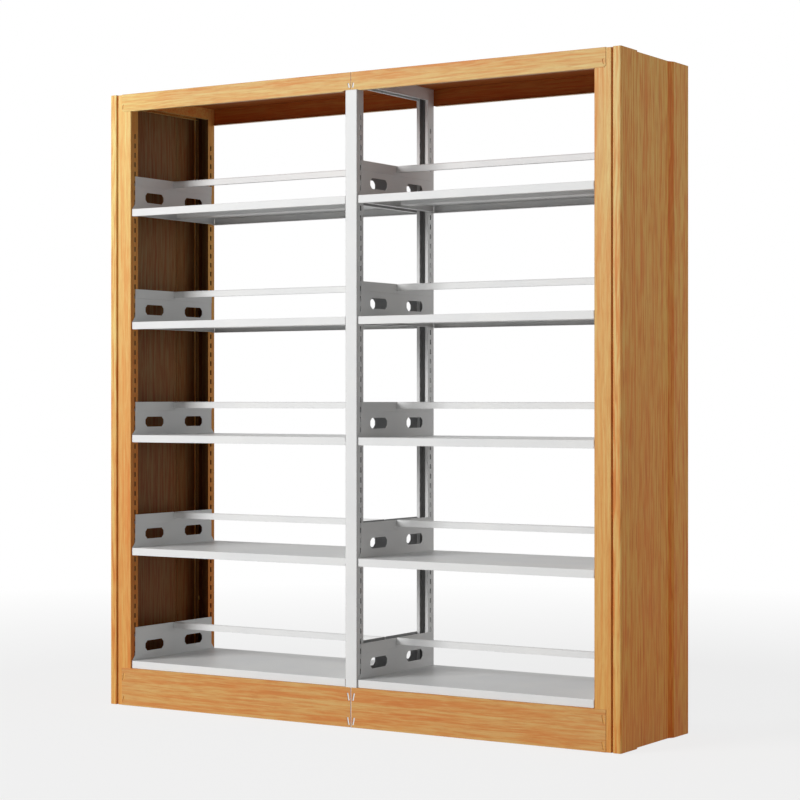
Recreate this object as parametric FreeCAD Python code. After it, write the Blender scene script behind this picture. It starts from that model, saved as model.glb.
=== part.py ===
import FreeCAD, Part
import math
import os

Vector = FreeCAD.Vector

# A free-standing steel bookcase, open at the front and the back, with two bays side by side.
# Lengths are in millimetres. The origin is on the floor under the middle, the front faces -Y
# and +Z is up. Every sheet part is one folded profile, extruded and then pierced. The slots
# repeat hundreds of times, so folds and round ends are drawn as a few flats around their arcs.

# Widths, from one side of the bookcase to the other
left_bay_width = 844.0
right_bay_width = 810.0
centre_post_width = 43.0
end_post_width = 54.5
panel_groove_width = 6.0
panel_thickness = 25.0

# Heights, from the floor up
floor_clearance = 2.0
plinth_top = 123.5
plinth_gap = 0.5
lip_height = 24.0
tier_pitch = 369.0
top_tier_height = 319.0
apron_height = 57.0

# Depth, and how many decks and slots repeat
overall_depth = 450.0
decks_per_bay = 5
slots_per_tier = 12
bare_row_count = 3
fold_flat_count = 1
round_flat_count = 3

# Sheet gauges
post_gauge = 1.5
beam_gauge = 1.5
panel_gauge = 1.2
cover_gauge = 1.2
deck_gauge = 1.2
bracket_gauge = 1.5
bar_gauge = 1.0
foot_plate_gauge = 3.0

# Clearances, and one overrun for every cut
seat_gap = 0.3
deck_side_clearance = 1.2
cover_seam_gap = 2.0
plinth_seam_gap = 3.5
return_end_gap = 2.0
stud_running_gap = 0.05
overrun = 2.0

# Posts
post_depth = 36.0
post_corner_radius = 3.0
post_lip = 11.0
slot_setback = 21.0
slot_side_play = 2.5

# Cross-beams
beam_height = 37.5
beam_lip = 8.0
base_beam_top = 110.0

# Hooks, on the brackets and on the side panels
hook_neck = 9.0
hook_drop = 5.0
hook_play = 2.0
hook_lip = 3.0
hook_rise = 23.5
hook_row_step = 2
panel_hook_rows_share = (0.1, 0.9)

# Side panels
panel_corner_radius = 5.0
panel_edge_radius = 2.5
panel_stile_width = 103.0
panel_step_width = 20.0
panel_recess_depth = 10.0
panel_groove_depth = 8.0
panel_flange_width = 27.0

# Covers and plinths, with the slanted windows near their ends
cover_lap = 37.5
cover_return = 15.0
cover_corner_radius = 2.0
seam_relief_height = 3.0
seam_relief_slope = 10.0
apron_corner_cut = 6.0
window_width = 6.0
window_slant_degrees = 12.0
apron_window_inset = 7.0
apron_window_height = 15.0
apron_window_rise = 16.5
plinth_window_inset = 8.0
plinth_window_height = 23.5
plinth_upper_window_drop = 28.5
plinth_lower_window_rise = 18.5

# Decks
lip_setback = 5.0
lip_return = 15.0
deck_corner_radius = 2.0
deck_flange_drop = 20.0
deck_corner_relief = 3.0
stiffener_width = 50.0
stiffener_depth = 14.0
stiffener_brim = 10.0
stiffener_end_gap = 30.0

# Brackets
bracket_rise = 108.0
bracket_strip_height = 30.0
bracket_flare_rise = 18.0
bracket_flange_width = 14.0
bracket_hole_length = 95.0
bracket_hole_height = 33.0
bracket_hole_rise = 42.5
bracket_hole_offset = 104.0

# Stop bars
bar_height = 21.0
bar_depth = 12.0
bar_corner_radius = 5.0
tongue_width = 7.0
tongue_height = 6.0
tongue_seat_drop = 12.0
tongue_drop = 4.0

# Levelling feet and the plates that hold them
foot_radius = 11.0
foot_height = 8.0
foot_side_count = 6
foot_hole_side_count = 8
stud_radius = 5.0
stud_top = 55.0
foot_plate_bottom = 30.0

# Places across the width
post_face_left_outer = -(left_bay_width + right_bay_width + centre_post_width + end_post_width * 2) / 2
left_bay_start = post_face_left_outer + end_post_width
left_bay_end = left_bay_start + left_bay_width
right_bay_start = left_bay_end + centre_post_width
right_bay_end = right_bay_start + right_bay_width
seam_x = (left_bay_end + right_bay_start) / 2
frames = {
    "left": (left_bay_start - end_post_width, left_bay_start),
    "centre": (left_bay_end, right_bay_start),
    "right": (right_bay_end, right_bay_end + end_post_width),
}
bays = {
    "left": (left_bay_start, left_bay_end),
    "right": (right_bay_start, right_bay_end),
}

# Places across the depth, measured from the middle
half_depth = overall_depth / 2
post_face = half_depth - cover_gauge - seat_gap
post_back = post_face - post_depth
slot_line = post_face - slot_setback
lip_face = half_depth - lip_setback
lip_inside = lip_face - deck_gauge

# Places up the height
slot_pitch = tier_pitch / slots_per_tier
slot_height = hook_neck + hook_drop + hook_play
slot_width = bracket_gauge + slot_side_play * 2
first_deck_top = plinth_top + plinth_gap + lip_height
deck_tops = [first_deck_top + tier * tier_pitch for tier in range(decks_per_bay)]
apron_bottom = deck_tops[-1] + top_tier_height
overall_height = apron_bottom + apron_height
post_top = overall_height - cover_gauge - seat_gap
slot_rows = decks_per_bay * slots_per_tier - bare_row_count
slot_levels = [first_deck_top + hook_rise + (row - 1) * slot_pitch for row in range(slot_rows)]

ALONG_X = Vector(1, 0, 0)
ALONG_Y = Vector(0, 1, 0)
ALONG_Z = Vector(0, 0, 1)


def block(x_ends, y_ends, z_ends):
    """A rectangular block between two places on each axis, given in either order."""
    low = Vector(min(x_ends), min(y_ends), min(z_ends))
    high = Vector(max(x_ends), max(y_ends), max(z_ends))
    size = high - low
    return Part.makeBox(size.x, size.y, size.z, low)


def joined(pieces):
    """Pieces fused into one solid, with the seams between coplanar faces removed."""
    return pieces[0].fuse(pieces[1:]).removeSplitter()


def front_to_rear(shape):
    """The same shape, mirrored from the front to the rear."""
    return shape.mirror(Vector(0, 0, 0), ALONG_Y)


def corner_points(before, here, after, radius, flats):
    """The points of a corner whose arc is drawn as flats that touch it, between its two sides."""
    if radius == 0:
        return [here]
    arriving = (here - before).normalize()
    leaving = (after - here).normalize()
    turn = arriving.getAngle(leaving)
    centre = here + (leaving - arriving).normalize() * (radius / math.cos(turn / 2))
    start = (here - arriving * (radius * math.tan(turn / 2)) - centre).normalize()
    step = turn / (flats + 1)
    reach = radius / math.cos(step / 2)
    angles = [step / 2 + step * flat for flat in range(flats + 1)]
    return [centre + (start * math.cos(angle) + arriving * math.sin(angle)) * reach for angle in angles]


def rounded(points, radii, flats):
    """Points along an open path, with its inner corners rounded."""
    path = [points[0]]
    for before, here, after, radius in zip(points, points[1:], points[2:], radii):
        path += corner_points(before, here, after, radius, flats)
    return path + [points[-1]]


def plate(points, sweep):
    """A flat plate through the points, swept to its thickness."""
    return Part.Face(Part.makePolygon(points + points[:1])).extrude(sweep)


def folded_sheet(points, normal, gauge, length, radii, flats=fold_flat_count):
    """A folded sheet, extruded along the normal.

    One face of the sheet follows the points, and its thickness lies to the right of the path,
    seen with the normal towards the eye. Each fold has the outer radius that radii gives it.
    """
    rights = [(after - before).normalize().cross(normal) for before, after in zip(points, points[1:])]
    far_points = [points[0] + rights[0] * gauge]
    near_radii = []
    far_radii = []
    for here, arriving, leaving, radius in zip(points[1:], rights, rights[1:], radii):
        far_points.append(here + (arriving + leaving) * (gauge / (1 + arriving.dot(leaving))))
        inner_radius = max(radius - gauge, 0)
        turns_right = arriving.cross(leaving).dot(normal) < 0
        near_radii.append(radius if turns_right else inner_radius)
        far_radii.append(inner_radius if turns_right else radius)
    far_points.append(points[-1] + rights[-1] * gauge)
    near = rounded(points, near_radii, flats)
    far = rounded(far_points, far_radii, flats)
    return plate(near + far[::-1], normal * length)


def hook(flange_x, into, line_y, level, gauge):
    """An L-shaped tab, bent square to its sheet, that drops behind a post's slotted flange.

    flange_x is the flange's outer face, and into is +1 or -1, the way into the post.
    """
    sill = level - slot_height / 2
    root = -(seat_gap + gauge)
    behind = post_gauge + seat_gap
    tip = behind + hook_lip
    outline = [
        (root, sill),
        (behind, sill),
        (behind, sill - hook_drop),
        (tip, sill - hook_drop),
        (tip, sill + hook_neck),
        (root, sill + hook_neck),
    ]
    near_y = line_y - gauge / 2
    return plate([Vector(flange_x + into * depth, near_y, z) for depth, z in outline], ALONG_Y * gauge)


def slot_cuts(flange_x, into, levels):
    """The blocks that pierce one flange of a front post with a row of slots."""
    x_ends = (flange_x - into * overrun, flange_x + into * (post_gauge + overrun))
    y_ends = (-slot_line - slot_width / 2, -slot_line + slot_width / 2)
    return [block(x_ends, y_ends, (level - slot_height / 2, level + slot_height / 2)) for level in levels]


def panel_hook_levels():
    """The slots that the side panels hang in."""
    return [slot_levels[round(share * (slot_rows - 1))] for share in panel_hook_rows_share]


def front_post(frame):
    """A lipped channel, web to the front. Flanges that face a bay have every slot."""
    x_low, x_high = frames[frame]
    face_y = -post_face
    back_y = -post_back
    outline = [
        (x_high - post_lip, back_y),
        (x_high, back_y),
        (x_high, face_y),
        (x_low, face_y),
        (x_low, back_y),
        (x_low + post_lip, back_y),
    ]
    points = [Vector(x, y, floor_clearance) for x, y in outline]
    radii = [0, post_corner_radius, post_corner_radius, 0]
    channel = folded_sheet(points, ALONG_Z, post_gauge, post_top - floor_clearance, radii)
    low_levels = panel_hook_levels() if frame == "left" else slot_levels
    high_levels = panel_hook_levels() if frame == "right" else slot_levels
    cuts = slot_cuts(x_low, 1, low_levels) + slot_cuts(x_high, -1, high_levels)
    return channel.cut(cuts)


def cross_beam(frame, top):
    """A lipped channel, open downwards, that butts against the lips of its two posts."""
    x_low, x_high = frames[frame]
    bottom = top - beam_height
    outline = [
        (x_high - beam_lip, bottom),
        (x_high, bottom),
        (x_high, top),
        (x_low, top),
        (x_low, bottom),
        (x_low + beam_lip, bottom),
    ]
    points = [Vector(x, -post_back, z) for x, z in outline]
    return folded_sheet(points, ALONG_Y, beam_gauge, post_back * 2, [0, 0, 0, 0])


def side_panel(outward):
    """A folded panel with two raised stiles, a recessed middle and hooks; outward is +1 or -1."""
    post_x = abs(frames["right"][1]) * outward
    seat_x = post_x + outward * seat_gap
    strip_x = post_x + outward * panel_groove_width
    face_x = strip_x + outward * panel_thickness
    recess_x = face_x - outward * panel_recess_depth
    groove_y = half_depth - panel_groove_depth
    flange_y = groove_y - panel_flange_width
    stile_y = half_depth - panel_stile_width
    recess_y = stile_y - panel_step_width
    front_half = [
        (seat_x, -flange_y),
        (seat_x, -groove_y),
        (strip_x, -groove_y),
        (strip_x, -half_depth),
        (face_x, -half_depth),
        (face_x, -stile_y),
        (recess_x, -recess_y),
    ]
    outline = front_half + [(x, -y) for x, y in reversed(front_half)]
    half_radii = [0, 0, panel_edge_radius, panel_corner_radius, 0, 0]
    radii = half_radii + half_radii[::-1]
    points = [Vector(x, y, floor_clearance) for x, y in outline]
    height = overall_height - floor_clearance
    right_side = ALONG_Z * -outward
    shell = folded_sheet(points, right_side, panel_gauge, height, radii, round_flat_count)
    if outward > 0:
        shell.translate(ALONG_Z * height)
    pieces = [shell]
    rim = rounded(points[2:-2], radii[2:-2], round_flat_count)[1:-1]
    bottom_cap = plate(rim, ALONG_Z * panel_gauge)
    top_cap = bottom_cap.copy()
    top_cap.translate(ALONG_Z * (height - panel_gauge))
    pieces += [bottom_cap, top_cap]
    for level in panel_hook_levels():
        tab = hook(post_x, -outward, -slot_line, level, panel_gauge)
        pieces += [tab, front_to_rear(tab)]
    return joined(pieces)


def lapped_ends(side, gap):
    """Where a front sheet ends: it laps the end post, and meets its neighbour at the seam."""
    if side == "left":
        return left_bay_start - cover_lap, seam_x - gap / 2
    return seam_x + gap / 2, right_bay_end + cover_lap


def window(end_x, into, inset, level, height):
    """A slanted window through a front sheet, near its end; into is +1 or -1, away from the end."""
    centre = Vector(end_x + into * inset, -half_depth, level)
    half_width = window_width / 2
    cut = block(
        (centre.x - half_width, centre.x + half_width),
        (centre.y - overrun, centre.y + cover_gauge + overrun),
        (level - height / 2, level + height / 2),
    )
    cut.rotate(centre, ALONG_Y, into * window_slant_degrees)
    return cut


def return_notch(end_x, bay_x, edge_z, inside):
    """Clears a folded return where a post stands behind it; inside is +1 or -1, up or down."""
    towards_bay = math.copysign(1, bay_x - end_x)
    return block(
        (end_x - towards_bay * overrun, bay_x + towards_bay * return_end_gap),
        (-half_depth + cover_gauge, -half_depth + cover_return + overrun),
        (edge_z - inside * overrun, edge_z + inside * (cover_gauge + overrun)),
    )


def front_prism(outline):
    """A cut through a front sheet, with an outline in X and Z."""
    points = [Vector(x, -half_depth - overrun, z) for x, z in outline]
    return plate(points, ALONG_Y * (cover_gauge + overrun * 2))


def seam_relief(end_x, bay_x, into):
    """Raises an apron's lower edge over the centre post, as far as a slanted end beyond the post."""
    start_x = end_x - into * overrun
    slope_x = bay_x + into * seam_relief_slope
    return front_prism([
        (start_x, apron_bottom - overrun),
        (start_x, apron_bottom + seam_relief_height),
        (bay_x, apron_bottom + seam_relief_height),
        (slope_x, apron_bottom),
        (slope_x, apron_bottom - overrun),
    ])


def corner_cut(end_x, into):
    """Takes the lower corner off an apron's outer end."""
    reach = apron_corner_cut + overrun
    return front_prism([
        (end_x - into * overrun, apron_bottom - overrun),
        (end_x - into * overrun, apron_bottom + reach),
        (end_x + into * reach, apron_bottom - overrun),
    ])


def top_cover(side):
    """A tray that closes the top of a bay, with an apron and a return along the front and the rear."""
    x_low, x_high = lapped_ends(side, cover_seam_gap)
    bay_low, bay_high = bays[side]
    ends = {"left": (x_low, x_high, bay_high, -1), "right": (x_high, x_low, bay_low, 1)}
    outer_end, seam_end, post_side, into = ends[side]
    return_y = half_depth - cover_return
    outline = [
        (-return_y, apron_bottom),
        (-half_depth, apron_bottom),
        (-half_depth, overall_height),
        (half_depth, overall_height),
        (half_depth, apron_bottom),
        (return_y, apron_bottom),
    ]
    points = [Vector(x_low, y, z) for y, z in outline]
    radii = [0, cover_corner_radius, cover_corner_radius, 0]
    tray = folded_sheet(points, ALONG_X, cover_gauge, x_high - x_low, radii)
    level = apron_bottom + apron_window_rise
    cuts = [
        return_notch(x_low, bay_low, apron_bottom, 1),
        return_notch(x_high, bay_high, apron_bottom, 1),
        return_notch(seam_end, post_side + into * seam_relief_slope, apron_bottom, 1),
        seam_relief(seam_end, post_side, into),
        corner_cut(outer_end, -into),
        window(x_low, 1, apron_window_inset, level, apron_window_height),
        window(x_high, -1, apron_window_inset, level, apron_window_height),
    ]
    return tray.cut(cuts + [front_to_rear(cut) for cut in cuts])


def front_plinth(side):
    """A channel along the floor, with a return along its top and bottom edges."""
    x_low, x_high = lapped_ends(side, plinth_seam_gap)
    bay_low, bay_high = bays[side]
    return_y = half_depth - cover_return
    outline = [
        (-return_y, floor_clearance),
        (-half_depth, floor_clearance),
        (-half_depth, plinth_top),
        (-return_y, plinth_top),
    ]
    points = [Vector(x_low, y, z) for y, z in outline]
    radii = [0, cover_corner_radius]
    channel = folded_sheet(points, ALONG_X, cover_gauge, x_high - x_low, radii)
    cuts = []
    for end_x, bay_x, into in ((x_low, bay_low, 1), (x_high, bay_high, -1)):
        cuts.append(return_notch(end_x, bay_x, floor_clearance, 1))
        cuts.append(return_notch(end_x, bay_x, plinth_top, -1))
        for level in (floor_clearance + plinth_lower_window_rise, plinth_top - plinth_upper_window_drop):
            cuts.append(window(end_x, into, plinth_window_inset, level, plinth_window_height))
    return channel.cut(cuts)


def deck(side, deck_top):
    """A shelf tray: lips with returns along the front and rear, end flanges and a stiffener."""
    bay_low, bay_high = bays[side]
    end_gap = seat_gap + bracket_gauge + deck_side_clearance
    x_low = bay_low + end_gap
    x_high = bay_high - end_gap
    lip_bottom = deck_top - lip_height
    return_y = lip_face - lip_return
    outline = [
        (-return_y, lip_bottom),
        (-lip_face, lip_bottom),
        (-lip_face, deck_top),
        (lip_face, deck_top),
        (lip_face, lip_bottom),
        (return_y, lip_bottom),
    ]
    points = [Vector(x_low, y, z) for y, z in outline]
    radii = [0, deck_corner_radius, deck_corner_radius, 0]
    pieces = [folded_sheet(points, ALONG_X, deck_gauge, x_high - x_low, radii)]
    flange_y = lip_inside - deck_corner_relief
    underside = deck_top - deck_gauge
    for end_x, into in ((x_low, 1), (x_high, -1)):
        flange_z = (deck_top - deck_flange_drop, underside)
        pieces.append(block((end_x, end_x + into * deck_gauge), (-flange_y, flange_y), flange_z))
    half_width = stiffener_width / 2
    stiffener_bottom = underside - stiffener_depth
    hat = [
        (-half_width - stiffener_brim, underside),
        (-half_width, underside),
        (-half_width, stiffener_bottom),
        (half_width, stiffener_bottom),
        (half_width, underside),
        (half_width + stiffener_brim, underside),
    ]
    hat_start = x_low + stiffener_end_gap
    hat_points = [Vector(hat_start, y, z) for y, z in hat]
    hat_length = x_high - x_low - stiffener_end_gap * 2
    pieces.append(folded_sheet(hat_points, ALONG_X, deck_gauge, hat_length, [0, 0, 0, 0]))
    return joined(pieces)


def oblong_cut(x_ends, centre_y, centre_z):
    """A cut with two straight sides and round ends, along Y."""
    radius = bracket_hole_height / 2
    half_length = bracket_hole_length / 2
    start_x = min(x_ends)
    corners = []
    for way in (1, -1):
        end_y = centre_y + way * half_length
        corners.append(Vector(start_x, end_y, centre_z - way * radius))
        corners.append(Vector(start_x, end_y, centre_z + way * radius))
    ring = [corners[-1]] + corners + [corners[0]]
    outline = rounded(ring, [radius] * len(corners), round_flat_count // 2)[1:-1]
    return plate(outline, ALONG_X * (max(x_ends) - start_x))


def bracket(post_x, into_bay, deck_top):
    """A side plate that hooks into a front and a rear post; into_bay is +1 or -1."""
    top = deck_top + bracket_rise
    bottom = deck_top - deck_flange_drop - bracket_gauge
    edge_y = slot_line + bracket_gauge / 2
    foot_y = lip_inside - seat_gap
    outer_x = post_x + into_bay * seat_gap
    inner_x = outer_x + into_bay * bracket_gauge
    strip_x = inner_x + into_bay * bracket_gauge
    flange_x = inner_x + into_bay * bracket_flange_width
    half = [
        (edge_y, top),
        (edge_y, deck_top + bracket_flare_rise),
        (foot_y, deck_top),
        (foot_y, bottom),
    ]
    outline = half + [(-y, z) for y, z in reversed(half)]
    pieces = [
        plate([Vector(outer_x, y, z) for y, z in outline], ALONG_X * (into_bay * bracket_gauge)),
        block((inner_x, strip_x), (-edge_y, edge_y), (top - bracket_strip_height, top)),
        block((inner_x, flange_x), (-foot_y, foot_y), (bottom, bottom + bracket_gauge)),
    ]
    lower_level = deck_top + hook_rise
    for level in (lower_level, lower_level + hook_row_step * slot_pitch):
        tab = hook(post_x, -into_bay, -slot_line, level, bracket_gauge)
        pieces += [tab, front_to_rear(tab)]
    cut_x = (outer_x - into_bay * overrun, strip_x + into_bay * overrun)
    hole_z = deck_top + bracket_hole_rise
    notch_y = tongue_width / 2 + seat_gap
    notch_z = (top - tongue_seat_drop, top + overrun)
    cuts = [
        oblong_cut(cut_x, bracket_hole_offset, hole_z),
        oblong_cut(cut_x, -bracket_hole_offset, hole_z),
        block((post_x, strip_x + into_bay * overrun), (-notch_y, notch_y), notch_z),
    ]
    return joined(pieces).cut(cuts)


def bracket_pair(side, deck_top):
    """The two brackets of a deck, as separate solids."""
    bay_low, bay_high = bays[side]
    return Part.makeCompound([bracket(bay_low, 1, deck_top), bracket(bay_high, -1, deck_top)])


def stop_bar(side, deck_top):
    """A bar with a round top across the middle, whose hooked tongues sit in the brackets' notches."""
    bay_low, bay_high = bays[side]
    end_gap = seat_gap + bracket_gauge * 2 + seat_gap
    x_low = bay_low + end_gap
    x_high = bay_high - end_gap
    top = deck_top + bracket_rise
    bottom = top - bar_height
    half_depth_of_bar = bar_depth / 2
    outline = [
        (-half_depth_of_bar, bottom),
        (-half_depth_of_bar, top),
        (half_depth_of_bar, top),
        (half_depth_of_bar, bottom),
    ]
    points = [Vector(x_low, y, z) for y, z in outline]
    pieces = [folded_sheet(points, ALONG_X, bar_gauge, x_high - x_low, [bar_corner_radius] * 2)]
    half_tongue = tongue_width / 2
    seat = top - tongue_seat_drop
    for end_x, post_x, outward in ((x_low, bay_low, -1), (x_high, bay_high, 1)):
        tip_x = post_x + outward * bar_gauge
        inner_x = end_x - outward * bar_gauge
        plug_y = half_depth_of_bar - bar_gauge
        neck_z = (seat, seat + tongue_height)
        pieces.append(block((end_x, inner_x), (-plug_y, plug_y), (bottom, seat + tongue_height)))
        pieces.append(block((inner_x, tip_x), (-half_tongue, half_tongue), neck_z))
        pieces.append(block((post_x, tip_x), (-half_tongue, half_tongue), (seat - tongue_drop, seat)))
    return joined(pieces)


def foot_place(frame):
    """The middle of a front post, where its levelling foot stands."""
    x_low, x_high = frames[frame]
    return Vector((x_low + x_high) / 2, -(post_face + post_back) / 2, 0)


def ring_points(centre, radius, count):
    """Points evenly round a circle."""
    angles = [2 * math.pi * number / count for number in range(count)]
    return [centre + Vector(math.cos(angle), math.sin(angle), 0) * radius for angle in angles]


def foot_plate(frame):
    """A plate welded across the inside of a front post, with a hole for the levelling stud."""
    x_low, x_high = frames[frame]
    x_ends = (x_low + post_gauge, x_high - post_gauge)
    y_ends = (-post_face + post_corner_radius, -post_back - post_gauge)
    web = block(x_ends, y_ends, (foot_plate_bottom, foot_plate_bottom + foot_plate_gauge))
    hole_start = foot_place(frame) + ALONG_Z * (foot_plate_bottom - overrun)
    corner_reach = (stud_radius + stud_running_gap) / math.cos(math.pi / foot_hole_side_count)
    ring = ring_points(hole_start, corner_reach, foot_hole_side_count)
    return web.cut(plate(ring, ALONG_Z * (foot_plate_gauge + overrun * 2)))


def levelling_foot(frame):
    """A many-sided pad with a stud that turns in the foot plate."""
    centre = foot_place(frame)
    pad = plate(ring_points(centre, foot_radius, foot_side_count), ALONG_Z * foot_height)
    stud = Part.makeCylinder(stud_radius, stud_top - foot_height, centre + ALONG_Z * foot_height, ALONG_Z)
    return joined([pad, stud])


def all_pieces():
    """Every node's name and shape."""
    pieces = {}
    plates = []
    for frame in frames:
        for name, front_shape in (("post", front_post(frame)), ("foot", levelling_foot(frame))):
            pieces[f"{name}_{frame}_front"] = front_shape
            pieces[f"{name}_{frame}_rear"] = front_to_rear(front_shape)
        plates += [foot_plate(frame), front_to_rear(foot_plate(frame))]
        pieces[f"top_beam_{frame}"] = cross_beam(frame, post_top)
        pieces[f"base_beam_{frame}"] = cross_beam(frame, base_beam_top)
    pieces["foot_plates"] = Part.makeCompound(plates)
    pieces["side_panel_left"] = side_panel(-1)
    pieces["side_panel_right"] = side_panel(1)
    for side in bays:
        pieces[f"top_cover_{side}"] = top_cover(side)
        pieces[f"plinth_{side}_front"] = front_plinth(side)
        pieces[f"plinth_{side}_rear"] = front_to_rear(pieces[f"plinth_{side}_front"])
        for number, deck_top in enumerate(deck_tops, start=1):
            pieces[f"deck_{side}_{number}"] = deck(side, deck_top)
            pieces[f"brackets_{side}_{number}"] = bracket_pair(side, deck_top)
            pieces[f"stop_bar_{side}_{number}"] = stop_bar(side, deck_top)
    return pieces


os.makedirs("parts", exist_ok=True)
for name, shape in all_pieces().items():
    shape.exportStep(f"parts/{name}.step")
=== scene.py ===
import math
from collections import namedtuple

import bpy
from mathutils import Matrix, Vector

# The looks of a two-bay steel bookcase: wood-grain print on its outside, white powder coat inside.
# Lengths are in metres. The front faces -Y and +Z is up.

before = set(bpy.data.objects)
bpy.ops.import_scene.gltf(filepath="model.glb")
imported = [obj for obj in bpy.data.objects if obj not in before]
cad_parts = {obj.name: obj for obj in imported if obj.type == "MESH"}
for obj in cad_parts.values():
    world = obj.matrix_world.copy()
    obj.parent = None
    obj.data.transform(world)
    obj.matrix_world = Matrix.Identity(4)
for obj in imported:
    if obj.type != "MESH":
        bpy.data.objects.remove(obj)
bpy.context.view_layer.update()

# Camera: the photograph's own place and lens, level with the middle of the bookcase
CAMERA_PLACE = (3.6696, -5.6641, 1.0)
CAMERA_TILT_DEGREES = 90.0
CAMERA_AZIMUTH_DEGREES = 32.57
SENSOR_WIDTH_MM = 36.0
LENS_MM = 96.68

# Light: a large soft key from the front left, a weak fill on the right side, and an even surround
KEY_PLACE = (-5.5, -10.1, 4.7)
KEY_TARGET = (0.0, 0.0, 0.9)
KEY_SIZE = 5.3
KEY_WATTS = 1140.0
FILL_PLACE = (5.6, 0.9, 1.7)
FILL_TARGET = (0.93, 0.0, 1.0)
FILL_SIZE = 2.4
FILL_WATTS = 53.0
SURROUND_STRENGTH = 0.205
PURE_WHITE = (1.0, 1.0, 1.0, 1.0)

# Floor
FLOOR_HALF_WIDTH = 40.0
FLOOR_COLOUR = (0.58, 0.58, 0.58, 1.0)
FLOOR_ROUGHNESS = 0.8
FLOOR_SPECULAR = 0.1
FLOOR_LIFT = 0.8
FLOOR_FADE_SPAN = (1.8, 5.0)

# Wood-grain print: its four inks, and how they are toned on the covers and plinths
GRAIN_PALE = (0.80, 0.64, 0.28)
GRAIN_BODY = (0.77, 0.475, 0.17)
GRAIN_RED = (0.74, 0.32, 0.10)
GRAIN_DARK = (0.64, 0.265, 0.08)
PLAIN_TONE = (1.0, 1.0, 1.0)
COVER_TONE = (0.94, 0.89, 0.86)
PLINTH_TONE = (0.90, 0.94, 1.15)

# How far the print is drawn out along its grain: the smaller, the longer
UPRIGHT_STRETCH = 0.015
LEVEL_STRETCH = 0.03
FLECK_STRETCH = 0.07

# Every noise below is given by its scale, its detail and its roughness. A noise stays around its
# middle, and mostly within this span.
NOISE_MIDDLE = 0.5
NOISE_SPAN = (0.3, 0.7)

# How the print is drawn on the level pieces, on the posts and on the side panels, and how far it
# is shifted there
Drawing = namedtuple("Drawing", "band_noise band_spread streak_share fleck_noise fleck_share")
LEVEL_DRAWING = Drawing((20.0, 2.0, 0.5), 0.14, 0.6, (210.0, 2.0, 0.55), 0.4)
POST_DRAWING = Drawing((20.0, 2.0, 0.5), 0.18, 0.45, (210.0, 2.0, 0.55), 0.35)
PANEL_DRAWING = Drawing((38.0, 2.0, 0.5), 0.10, 0.8, (140.0, 2.0, 0.55), 0.8)
NO_SHIFT = (0.0, 0.0, 0.0)
PANEL_SHIFT = (-0.23, 0.05, 0.0)

# What every drawing shares: its noises, the spans of them that take an ink, and how much of it
WANDER_NOISE = (1.8, 1.0, 0.5)
WANDER_REACH = 0.02
STREAK_NOISE = (130.0, 3.0, 0.6)
STREAK_STOPS = (0.38, 0.50, 0.60)
FLECK_PALE_SPAN = (0.48, 0.34)
FLECK_DARK_SPAN = (0.52, 0.68)
FIBRE_NOISE = (420.0, 2.0, 0.6)
FIBRE_DARK_SPAN = (0.50, 0.72)
FIBRE_SHARE = 0.30
PORE_NOISE = (900.0, 1.0, 0.5)
PORE_DARK_SPAN = (0.62, 0.72)
PORE_SHARE = 0.30

# Satin skin of the print
SATIN_ROUGHNESS_SPAN = (0.38, 0.50)
SATIN_SPECULAR = 0.1
SATIN_PEEL_NOISE = (420.0, 2.0, 0.5)
FIBRE_RELIEF = 0.00015
FIBRE_RELIEF_STRENGTH = 0.25
SATIN_PEEL_RELIEF = 0.0002
SATIN_PEEL_STRENGTH = 0.12

# Tints: the print fuller towards the floor and paler in the upper left corner. Painted shade,
# deeper and redder, on sideways faces and the side panels' slanted steps, and dark inside the
# folded sheets
FOOT_TINT = (0.94, 0.72, 0.50, 1.0)
PALE_CORNER_TINT = (1.16, 1.29, 1.23, 1.0)
PALE_CORNER_START_X = -0.6
PALE_CORNER_START_Z = 0.45
BROAD_FACE_SHADE_TINT = (0.95, 0.75, 0.48, 1.0)
STEP_SHADE_TINT = (0.97, 0.70, 0.46, 1.0)
SIDEWAYS_SHADE_TINT = (0.95, 0.65, 0.46, 1.0)
PANEL_INSIDE_SHADE_TINT = (0.35, 0.26, 0.28, 1.0)
POST_INSIDE_SHADE_TINT = (0.20, 0.15, 0.15, 1.0)
COVER_INSIDE_SHADE_TINT = (0.66, 0.30, 0.16, 1.0)

# White powder coat: two close shades in a wide cloud, and a fine peel and speckle
WHITE_COLOUR = (0.83, 0.83, 0.82, 1.0)
WHITE_SHADE = (0.79, 0.795, 0.795, 1.0)
WHITE_ROUGHNESS_SPAN = (0.37, 0.46)
WHITE_SPECULAR = 0.15
WHITE_CLOUD_NOISE = (5.0, 2.0, 0.5)
WHITE_CLOUD_SPAN = (0.35, 0.65)
WHITE_SPECKLE_NOISE = (1800.0, 1.0, 0.5)
WHITE_PEEL_NOISE = (650.0, 2.0, 0.5)
WHITE_PEEL_RELIEF = 0.00025
WHITE_PEEL_STRENGTH = 0.2

# Painted shade on the white coat: behind the brackets towards the posts, and inside the white
# posts, less inside the rear one
BRACKET_BACK_SHADE_TINT = (0.50, 0.50, 0.51, 1.0)
WHITE_POST_INSIDE_SHADE_TINT = (0.05, 0.05, 0.05, 1.0)
REAR_POST_SHADE_SHARE = 0.45
BETWEEN_POSTS_SPAN = (-0.1, 0.1)

# Zinc plate
ZINC_DARK = (0.50, 0.51, 0.52, 1.0)
ZINC_LIGHT = (0.68, 0.68, 0.66, 1.0)
ZINC_SPANGLE_SCALE = 160.0
ZINC_ROUGHNESS_SPAN = (0.32, 0.5)

# Black plastic
PLASTIC_DARK = (0.018, 0.018, 0.019, 1.0)
PLASTIC_LIGHT = (0.035, 0.035, 0.036, 1.0)
PLASTIC_GRAIN_NOISE = (1400.0, 2.0, 0.5)
PLASTIC_RELIEF = 0.0002
PLASTIC_RELIEF_STRENGTH = 0.3
PLASTIC_ROUGHNESS = 0.55

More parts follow.
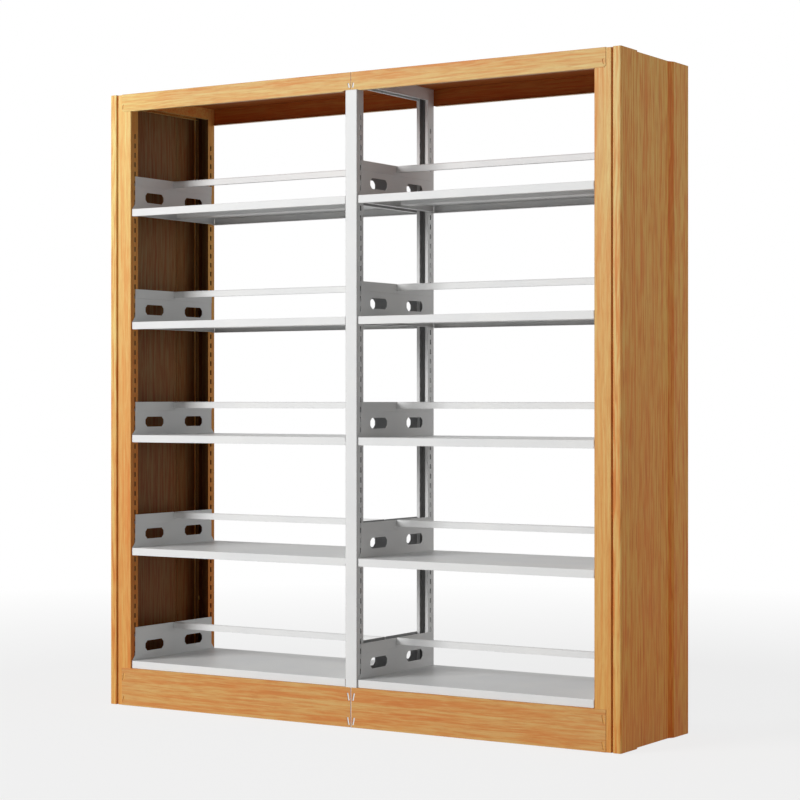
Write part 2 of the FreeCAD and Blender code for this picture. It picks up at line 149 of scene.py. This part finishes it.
# Sheets: the rounding of their edges, half of the thinnest one, and how far past the deck's end
# the middle of the brackets' plate is
EDGE_ROUNDING = 0.0004
EDGE_SEGMENTS = 2
EDGE_ANGLE_DEGREES = 20.0
WELD_REACH = 0.00001
SHEET_HALF = 0.0006
BRACKET_BEYOND_DECK = 0.002

# Which way faces look: the spans in which they turn sideways or towards the bay, how far outward
# the side panels' slanted steps look, and how near a face has to come to count
SIDEWAYS_SPAN = (0.7, 1.0)
BAYWARD_SPAN = (-0.3, -0.5)
INWARD_REACH = 0.2
STEP_OUTWARD = 0.894
STEP_REACH = 0.02

# How deep the grooves along the side panels' front and rear edges are
GROOVE_DEPTH = 0.008


def node_box(name):
    """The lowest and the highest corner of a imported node."""
    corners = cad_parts[name].bound_box
    return [min(column) for column in zip(*corners)], [max(column) for column in zip(*corners)]


def add_node(tree, kind, inputs=None, **settings):
    """A shader node with its settings, its socket values and its links."""
    node = tree.nodes.new(kind)
    for name, value in settings.items():
        setattr(node, name, value)
    for socket, value in (inputs or {}).items():
        if isinstance(value, bpy.types.NodeSocket):
            tree.links.new(value, node.inputs[socket])
        else:
            node.inputs[socket].default_value = value
    return node


def maths(tree, operation, *values):
    """One step of arithmetic."""
    return add_node(tree, "ShaderNodeMath", dict(enumerate(values)), operation=operation).outputs[0]


def vector_maths(tree, operation, inputs):
    """One step of vector arithmetic."""
    return add_node(tree, "ShaderNodeVectorMath", inputs, operation=operation).outputs[0]


def colour_ramp(tree, factor, stops):
    """A colour ramp through (position, colour) stops."""
    node = add_node(tree, "ShaderNodeValToRGB", {"Fac": factor})
    for position, _ in stops[1:-1]:
        node.color_ramp.elements.new(position)
    for element, (position, colour) in zip(node.color_ramp.elements, stops):
        element.position = position
        element.color = colour
    return node.outputs["Color"]


def spanned(tree, value, span, new_span=(0.0, 1.0)):
    """A value carried from one span to another and held inside it."""
    inputs = {"Value": value}
    inputs.update(zip(("From Min", "From Max", "To Min", "To Max"), (*span, *new_span)))
    return add_node(tree, "ShaderNodeMapRange", inputs).outputs["Result"]


def mixed(tree, factor, first, second, blend="MIX"):
    """Two colours mixed by a factor."""
    inputs = {0: factor, 6: first, 7: second}
    return add_node(tree, "ShaderNodeMix", inputs, data_type="RGBA", blend_type=blend).outputs[2]


def tinted(tree, share, colour, tint):
    """A colour multiplied by a tint, as far as the share says."""
    return mixed(tree, share, colour, tint, "MULTIPLY")


def noise(tree, place, look, output="Fac"):
    """A noise at a place; its look is its scale, its detail and its roughness."""
    inputs = {"Vector": place}
    inputs.update(zip(("Scale", "Detail", "Roughness"), look))
    return add_node(tree, "ShaderNodeTexNoise", inputs).outputs[output]


def stretched(tree, place, stretch, shift):
    """A place scaled and then shifted, which draws a noise out where the scale is small."""
    inputs = {"Vector": place, "Scale": stretch, "Location": shift}
    return add_node(tree, "ShaderNodeMapping", inputs).outputs["Vector"]


def bumped(tree, height, distance, strength, under=None):
    """A normal bumped by a height, on top of another bumped normal."""
    inputs = {"Height": height, "Distance": distance, "Strength": strength}
    if under:
        inputs["Normal"] = under
    return add_node(tree, "ShaderNodeBump", inputs).outputs["Normal"]


def axes_of(tree, vector):
    """A vector's three values."""
    parts = add_node(tree, "ShaderNodeSeparateXYZ", {"Vector": vector}).outputs
    return parts["X"], parts["Y"], parts["Z"]


def object_place(tree):
    """Where a point is on its node, which is its place on the standing bookcase."""
    return add_node(tree, "ShaderNodeTexCoord").outputs["Object"]


def object_normal(tree):
    """Which way a node's face looks."""
    return add_node(tree, "ShaderNodeTexCoord").outputs["Normal"]


def new_material(name):
    """An empty node material with its surface shader and output."""
    material = bpy.data.materials.new(name)
    material.use_nodes = True
    tree = material.node_tree
    tree.nodes.clear()
    shader = add_node(tree, "ShaderNodeBsdfPrincipled")
    output = add_node(tree, "ShaderNodeOutputMaterial")
    tree.links.new(shader.outputs["BSDF"], output.inputs["Surface"])
    return material, tree, shader


def inside_sheet(tree, place, node_name, mirrored):
    """1 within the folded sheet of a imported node, and 0 on its outer faces.

    mirrored names the axes along which the node has mirror images that count as well.
    """
    low, high = node_box(node_name)
    share = None
    for index, value in enumerate(axes_of(tree, place)):
        middle = (low[index] + high[index]) / 2
        half = (high[index] - low[index]) / 2 - SHEET_HALF
        if "XYZ"[index] in mirrored:
            value = maths(tree, "ABSOLUTE", value)
            middle = abs(middle)
        inside = maths(tree, "COMPARE", value, middle, half)
        share = inside if share is None else maths(tree, "MULTIPLY", share, inside)
    return share


def beyond_deck(tree, place, side):
    """1 on the outer half of one bay's brackets, which faces the posts and takes painted shade, and
    0 on the inner half.
    """
    low, high = node_box(f"deck_{side}_1")
    middle = (low[0] + high[0]) / 2
    reach = (high[0] - low[0]) / 2 + BRACKET_BEYOND_DECK
    inside = maths(tree, "COMPARE", axes_of(tree, place)[0], middle, reach)
    return maths(tree, "SUBTRACT", 1.0, inside)


def sideways(tree):
    """1 on faces that look along X, either way."""
    turn = maths(tree, "ABSOLUTE", axes_of(tree, object_normal(tree))[0])
    return spanned(tree, turn, SIDEWAYS_SPAN)


def looks_inward(tree, place):
    """1 on faces that look along Y towards the middle of the bookcase."""
    way = maths(tree, "SIGN", axes_of(tree, place)[1])
    turn = maths(tree, "MULTIPLY", way, axes_of(tree, object_normal(tree))[1])
    return maths(tree, "COMPARE", turn, -1.0, INWARD_REACH)


def place_tinted(tree, place, colour):
    """The print's colour, fuller towards the floor and paler in the upper left corner."""
    low, high = node_box("side_panel_right")
    across, _, height = axes_of(tree, place)
    footward = spanned(tree, height, (high[2], low[2]))
    leftward = spanned(tree, across, (PALE_CORNER_START_X, -high[0]))
    upward = spanned(tree, height, (PALE_CORNER_START_Z, high[2]))
    fuller = tinted(tree, footward, colour, FOOT_TINT)
    return tinted(tree, maths(tree, "MULTIPLY", leftward, upward), fuller, PALE_CORNER_TINT)


def grain_print(tree, place, along, tone, drawing, shift=NO_SHIFT):
    """The colour of a printed beech grain along an axis, and the height of its fibres."""
    pale, body, red, dark = [
        tuple(value * share for value, share in zip(colour, tone)) + (1.0,)
        for colour in (GRAIN_PALE, GRAIN_BODY, GRAIN_RED, GRAIN_DARK)
    ]
    wander = noise(tree, place, WANDER_NOISE, "Color")
    centred = vector_maths(tree, "SUBTRACT", {0: wander, 1: (NOISE_MIDDLE,) * 3})
    bend = vector_maths(tree, "SCALE", {0: centred, "Scale": WANDER_REACH})
    bent = vector_maths(tree, "ADD", {0: place, 1: bend})
    if along == "X":
        stretch, short_stretch = (LEVEL_STRETCH, 1.0, 1.0), (FLECK_STRETCH, 1.0, 1.0)
    else:
        stretch, short_stretch = (1.0, 1.0, UPRIGHT_STRETCH), (1.0, 1.0, FLECK_STRETCH)
    grain = stretched(tree, bent, stretch, shift)
    short_grain = stretched(tree, bent, short_stretch, shift)
    bands = noise(tree, grain, drawing.band_noise)
    streaks = noise(tree, grain, STREAK_NOISE)
    fibres = noise(tree, grain, FIBRE_NOISE)
    flecks = noise(tree, short_grain, drawing.fleck_noise)
    pores = noise(tree, short_grain, PORE_NOISE)
    spread = drawing.band_spread
    band_stops = (NOISE_MIDDLE - spread, NOISE_MIDDLE, NOISE_MIDDLE + spread)
    banded = colour_ramp(tree, bands, list(zip(band_stops, (pale, body, red))))
    streaky = colour_ramp(tree, streaks, list(zip(STREAK_STOPS, (pale, body, red))))
    colour = mixed(tree, drawing.streak_share, banded, streaky)
    for value, span, share, ink in (
        (flecks, FLECK_PALE_SPAN, drawing.fleck_share, pale),
        (flecks, FLECK_DARK_SPAN, drawing.fleck_share, dark),
        (fibres, FIBRE_DARK_SPAN, FIBRE_SHARE, dark),
        (pores, PORE_DARK_SPAN, PORE_SHARE, dark),
    ):
        colour = mixed(tree, spanned(tree, value, span, (0.0, share)), colour, ink)
    return place_tinted(tree, place, colour), fibres


def satin_skin(tree, shader, place, fibres):
    """The sheen and the fine relief of the printed coat."""
    gloss = spanned(tree, fibres, NOISE_SPAN, SATIN_ROUGHNESS_SPAN)
    tree.links.new(gloss, shader.inputs["Roughness"])
    pressed = bumped(tree, fibres, FIBRE_RELIEF, FIBRE_RELIEF_STRENGTH)
    peel = noise(tree, place, SATIN_PEEL_NOISE)
    normal = bumped(tree, peel, SATIN_PEEL_RELIEF, SATIN_PEEL_STRENGTH, pressed)
    tree.links.new(normal, shader.inputs["Normal"])
    shader.inputs["Specular IOR Level"].default_value = SATIN_SPECULAR


def wood_grain(name, along, tone, drawing, inside=None, inside_shade_tint=None):
    """A beech print baked into a satin coat, with painted shade on sideways faces: the print deeper
    and redder there.

    inside says where on the piece its inside is, where shade is painted in with the tint after it.
    """
    material, tree, shader = new_material(name)
    place = object_place(tree)
    colour, fibres = grain_print(tree, place, along, tone, drawing)
    # Painted shade: the print deeper and redder on sideways faces, as in warm bounced light
    colour = tinted(tree, sideways(tree), colour, SIDEWAYS_SHADE_TINT)
    if inside:
        # Painted shade: the print darker inside the folded sheet
        colour = tinted(tree, inside(tree, place), colour, inside_shade_tint)
    tree.links.new(colour, shader.inputs["Base Color"])
    satin_skin(tree, shader, place, fibres)
    return material


def panel_grain(name):
    """The side panels' print, with painted shade: deeper and redder on the broad outer face and on
    the slanted steps, and dark on the inner face.
    """
    material, tree, shader = new_material(name)
    place = object_place(tree)
    colour, fibres = grain_print(tree, place, "Z", PLAIN_TONE, PANEL_DRAWING, PANEL_SHIFT)
    x_axis, y_axis, _ = axes_of(tree, place)
    side = maths(tree, "SIGN", x_axis)
    outward = maths(tree, "MULTIPLY", side, axes_of(tree, object_normal(tree))[0])
    # Painted shade: the print deeper and redder on the broad outer face
    colour = tinted(tree, spanned(tree, outward, SIDEWAYS_SPAN), colour, BROAD_FACE_SHADE_TINT)
    # Painted shade: the print deeper and redder on the slanted steps along the grooves
    on_step = maths(tree, "COMPARE", outward, STEP_OUTWARD, STEP_REACH)
    colour = tinted(tree, on_step, colour, STEP_SHADE_TINT)
    # Painted shade: the print dark on the inner face, between the grooves
    high = node_box("side_panel_right")[1]
    between_grooves = maths(tree, "COMPARE", y_axis, 0.0, high[1] - GROOVE_DEPTH)
    inside = maths(tree, "MULTIPLY", spanned(tree, outward, BAYWARD_SPAN), between_grooves)
    colour = tinted(tree, inside, colour, PANEL_INSIDE_SHADE_TINT)
    tree.links.new(colour, shader.inputs["Base Color"])
    satin_skin(tree, shader, place, fibres)
    return material


def powder_coat(name, shaded=None, shade_tint=None):
    """A semi-gloss white coat with a fine orange peel.

    The mask after the name says where on the piece shade is painted into the white, with the tint
    after it.
    """
    material, tree, shader = new_material(name)
    place = object_place(tree)
    cloud = spanned(tree, noise(tree, place, WHITE_CLOUD_NOISE), WHITE_CLOUD_SPAN)
    coat = mixed(tree, cloud, WHITE_COLOUR, WHITE_SHADE)
    if shaded:
        # Painted shade: the white darkened where the mask says
        coat = tinted(tree, shaded(tree, place), coat, shade_tint)
    tree.links.new(coat, shader.inputs["Base Color"])
    speckle = noise(tree, place, WHITE_SPECKLE_NOISE)
    gloss = spanned(tree, speckle, NOISE_SPAN, WHITE_ROUGHNESS_SPAN)
    tree.links.new(gloss, shader.inputs["Roughness"])
    peel = noise(tree, place, WHITE_PEEL_NOISE)
    normal = bumped(tree, peel, WHITE_PEEL_RELIEF, WHITE_PEEL_STRENGTH)
    tree.links.new(normal, shader.inputs["Normal"])
    shader.inputs["Specular IOR Level"].default_value = WHITE_SPECULAR
    return material


def zinc_plate(name):
    """Bright zinc plating with a faint spangle."""
    material, tree, shader = new_material(name)
    inputs = {"Vector": object_place(tree), "Scale": ZINC_SPANGLE_SCALE}
    spangle = add_node(tree, "ShaderNodeTexVoronoi", inputs).outputs["Distance"]
    grey = colour_ramp(tree, spangle, [(0.0, ZINC_DARK), (1.0, ZINC_LIGHT)])
    tree.links.new(grey, shader.inputs["Base Color"])
    gloss = spanned(tree, spangle, (0.0, 1.0), ZINC_ROUGHNESS_SPAN)
    tree.links.new(gloss, shader.inputs["Roughness"])
    shader.inputs["Metallic"].default_value = 1.0
    return material


def black_plastic(name):
    """Moulded black plastic with a fine grain."""
    material, tree, shader = new_material(name)
    grain = noise(tree, object_place(tree), PLASTIC_GRAIN_NOISE)
    tone = colour_ramp(tree, grain, list(zip(NOISE_SPAN, (PLASTIC_DARK, PLASTIC_LIGHT))))
    tree.links.new(tone, shader.inputs["Base Color"])
    normal = bumped(tree, grain, PLASTIC_RELIEF, PLASTIC_RELIEF_STRENGTH)
    tree.links.new(normal, shader.inputs["Normal"])
    shader.inputs["Roughness"].default_value = PLASTIC_ROUGHNESS
    return material


def inside_wood_post(tree, place):
    """1 within the end posts' sheets, and on their lips' faces that look at each other, where shade
    is painted.
    """
    within = inside_sheet(tree, place, "post_right_front", "XY")
    return maths(tree, "MAXIMUM", within, looks_inward(tree, place))


def inside_white_post(tree, place):
    """1 within the front centre post's sheet, and less within the rear one's, where shade is
    painted.
    """
    share = spanned(tree, axes_of(tree, place)[1], BETWEEN_POSTS_SPAN, (1.0, REAR_POST_SHADE_SHARE))
    return maths(tree, "MULTIPLY", inside_sheet(tree, place, "post_centre_front", "Y"), share)


def finishes():
    """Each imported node's finish, by the start of its name; the longest start that fits counts."""
    white = powder_coat("white_coat")
    beams = wood_grain("grain_on_beams", "X", PLAIN_TONE, LEVEL_DRAWING)
    found = {
        "deck": white,
        "stop_bar": white,
        "top_beam": beams,
        "base_beam": beams,
        "top_beam_centre": white,
        "base_beam_centre": white,
        # Painted shade inside the end posts' sheets and on their facing lips
        "post": wood_grain(
            "grain_on_posts", "Z", PLAIN_TONE, POST_DRAWING, inside_wood_post, POST_INSIDE_SHADE_TINT
        ),
        # Painted shade inside the white centre posts
        "post_centre": powder_coat(
            "white_coat_on_posts", inside_white_post, WHITE_POST_INSIDE_SHADE_TINT
        ),
        "side_panel": panel_grain("grain_on_panels"),
        "plinth": wood_grain("grain_on_plinths", "X", PLINTH_TONE, LEVEL_DRAWING),
        "foot_plates": zinc_plate("zinc_plate"),
        "foot": black_plastic("black_plastic"),
    }
    for side in ("left", "right"):
        cover = f"top_cover_{side}"
        # Painted shade, darker and redder, inside each top cover's sheet
        found[cover] = wood_grain(
            f"grain_on_{cover}", "X", COVER_TONE, LEVEL_DRAWING,
            lambda tree, place, cover=cover: inside_sheet(tree, place, cover, ""),
            COVER_INSIDE_SHADE_TINT,
        )
        # Painted shade on the brackets' faces towards the posts
        found[f"brackets_{side}"] = powder_coat(
            f"white_coat_on_brackets_{side}",
            lambda tree, place, side=side: beyond_deck(tree, place, side),
            BRACKET_BACK_SHADE_TINT,
        )
    return found


def soften_edges(node):
    """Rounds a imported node's edges a little, as pressed and coated sheet has them."""
    weld = node.modifiers.new("weld", "WELD")
    weld.merge_threshold = WELD_REACH
    bevel = node.modifiers.new("edges", "BEVEL")
    bevel.width = EDGE_ROUNDING
    bevel.segments = EDGE_SEGMENTS
    bevel.limit_method = "ANGLE"
    bevel.angle_limit = math.radians(EDGE_ANGLE_DEGREES)
    bevel.harden_normals = True


def dress_nodes():
    """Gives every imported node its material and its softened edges."""
    found = finishes()
    for name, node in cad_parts.items():
        start = max((start for start in found if name.startswith(start)), key=len)
        node.data.materials.clear()
        node.data.materials.append(found[start])
        soften_edges(node)


def seen_plainly(tree):
    """1 for what the camera sees, also mirrored or through glass, and 0 for what lights things."""
    path = add_node(tree, "ShaderNodeLightPath").outputs
    reflected = maths(tree, "MAXIMUM", path["Is Glossy Ray"], path["Is Transmission Ray"])
    return maths(tree, "MAXIMUM", path["Is Camera Ray"], reflected)


def make_floor():
    """A pale floor that keeps the shadow near the object and fades to white far from it."""
    half = FLOOR_HALF_WIDTH
    corners = [(-half, -half, 0.0), (half, -half, 0.0), (half, half, 0.0), (-half, half, 0.0)]
    mesh = bpy.data.meshes.new("floor")
    mesh.from_pydata(corners, [], [(0, 1, 2, 3)])
    floor = bpy.data.objects.new("floor", mesh)
    bpy.context.scene.collection.objects.link(floor)
    material, tree, shader = new_material("pale_floor")
    inputs = {0: object_place(tree)}
    length = add_node(tree, "ShaderNodeVectorMath", inputs, operation="LENGTH")
    fade = spanned(tree, length.outputs["Value"], FLOOR_FADE_SPAN, (FLOOR_LIFT, 1.0))
    glow = add_node(tree, "ShaderNodeEmission", {"Color": PURE_WHITE, "Strength": 1.0})
    lift = maths(tree, "MULTIPLY", fade, seen_plainly(tree))
    inputs = {0: lift, 1: shader.outputs[0], 2: glow.outputs[0]}
    surface = add_node(tree, "ShaderNodeMixShader", inputs)
    output = next(node for node in tree.nodes if node.type == "OUTPUT_MATERIAL")
    tree.links.new(surface.outputs[0], output.inputs["Surface"])
    shader.inputs["Base Color"].default_value = FLOOR_COLOUR
    shader.inputs["Roughness"].default_value = FLOOR_ROUGHNESS
    shader.inputs["Specular IOR Level"].default_value = FLOOR_SPECULAR
    mesh.materials.append(material)


def make_world():
    """An even surround that lights softly and shows white to the camera."""
    world = bpy.data.worlds.new("surround")
    bpy.context.scene.world = world
    world.use_nodes = True
    tree = world.node_tree
    tree.nodes.clear()
    lit, white = [
        add_node(tree, "ShaderNodeBackground", {"Color": PURE_WHITE, "Strength": strength})
        for strength in (SURROUND_STRENGTH, 1.0)
    ]
    inputs = {0: seen_plainly(tree), 1: lit.outputs[0], 2: white.outputs[0]}
    mix = add_node(tree, "ShaderNodeMixShader", inputs)
    output = add_node(tree, "ShaderNodeOutputWorld")
    tree.links.new(mix.outputs[0], output.inputs["Surface"])


def make_lamp(name, place, target, size, watts):
    """A soft square lamp at a place, aimed at a target."""
    data = bpy.data.lights.new(name, "AREA")
    data.shape = "SQUARE"
    data.size = size
    data.energy = watts
    lamp = bpy.data.objects.new(name, data)
    bpy.context.scene.collection.objects.link(lamp)
    lamp.location = place
    aim = Vector(target) - Vector(place)
    lamp.rotation_euler = aim.to_track_quat("-Z", "Y").to_euler()


def make_camera():
    """The photograph's camera: level, with no shift."""
    data = bpy.data.cameras.new("camera")
    data.sensor_width = SENSOR_WIDTH_MM
    data.lens = LENS_MM
    camera = bpy.data.objects.new("camera", data)
    bpy.context.scene.collection.objects.link(camera)
    camera.location = CAMERA_PLACE
    turn = (CAMERA_TILT_DEGREES, 0.0, CAMERA_AZIMUTH_DEGREES)
    camera.rotation_euler = [math.radians(angle) for angle in turn]
    bpy.context.scene.camera = camera


dress_nodes()
make_floor()
make_world()
make_lamp("key", KEY_PLACE, KEY_TARGET, KEY_SIZE, KEY_WATTS)
make_lamp("fill", FILL_PLACE, FILL_TARGET, FILL_SIZE, FILL_WATTS)
make_camera()
bpy.context.scene.view_settings.view_transform = "Standard"
